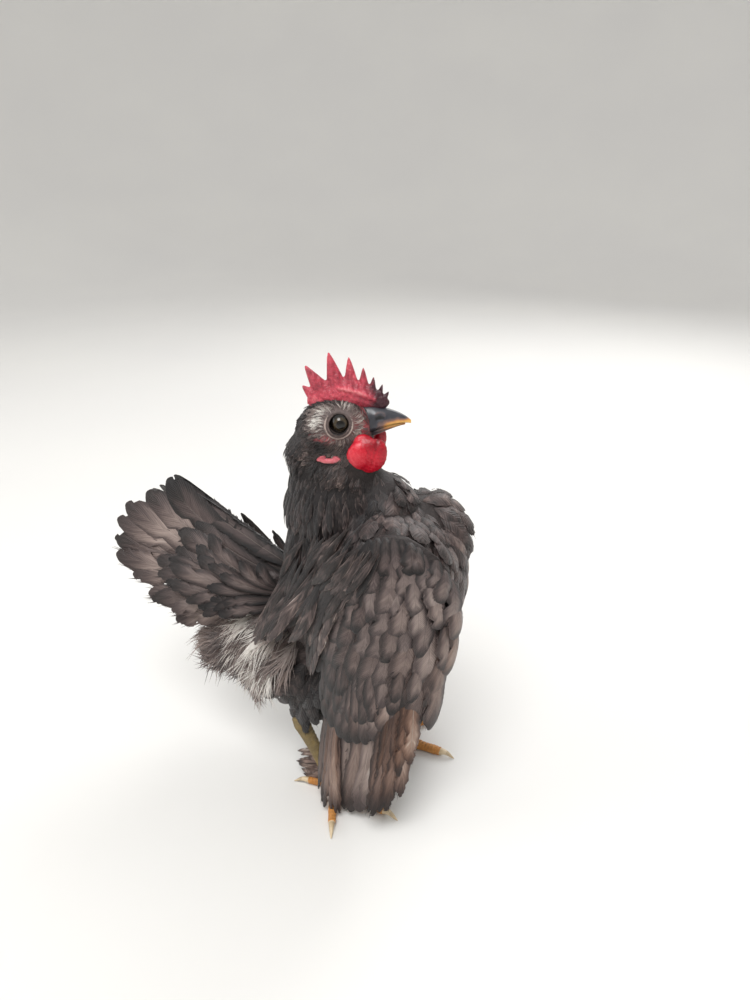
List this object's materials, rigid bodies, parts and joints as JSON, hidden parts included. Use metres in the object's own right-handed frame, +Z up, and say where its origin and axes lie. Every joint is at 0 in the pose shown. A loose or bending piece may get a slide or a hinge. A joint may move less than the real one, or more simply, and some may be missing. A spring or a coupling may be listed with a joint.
{
  "type": "serama chicken",
  "caption": "Very small upright hen with a dark grey coat, red comb and wattles, drooped wings and a raised, tented tail, standing and looking to its left.",
  "frame": {"origin": "on the floor, under the middle of the hen's box", "axes": "+X is the way the body faces, +Y its left side, +Z up"},
  "size_m": [0.178, 0.0962, 0.2035],
  "materials": {
    "body_feathers": "soft, lightly glossed feathers",
    "flight_feathers": "smooth vanes with a satin sheen",
    "face_skin": "thin bare skin with fine hair-like feathers",
    "comb_skin": "granular, satin",
    "wattle_skin": "smooth, moist gloss",
    "beak_horn": "satin horn",
    "eye": "wet gloss",
    "leg_scale": "scaled, satin",
    "claw_horn": "satin horn"
  },
  "bodies": {
    "root": {"head": "face_skin", "neck": "body_feathers", "torso": "body_feathers", "tail_right": "flight_feathers", "tail_left": "flight_feathers", "wing_right": "flight_feathers", "wing_left": "flight_feathers", "comb": "comb_skin", "beak_upper": "beak_horn", "beak_lower": "beak_horn", "wattle_right": "wattle_skin", "wattle_left": "wattle_skin", "earlobe_right": "wattle_skin", "earlobe_left": "wattle_skin", "eye_right": "eye", "eye_left": "eye", "thigh_right": "body_feathers", "thigh_left": "body_feathers", "shank_right": "leg_scale", "shank_left": "leg_scale", "foot_right": "leg_scale", "foot_left": "leg_scale", "claw_middle_right": "claw_horn", "claw_outer_right": "claw_horn", "claw_inner_right": "claw_horn", "claw_hind_right": "claw_horn", "claw_middle_left": "claw_horn", "claw_outer_left": "claw_horn", "claw_inner_left": "claw_horn", "claw_hind_left": "claw_horn"}
  },
  "joints": []
}
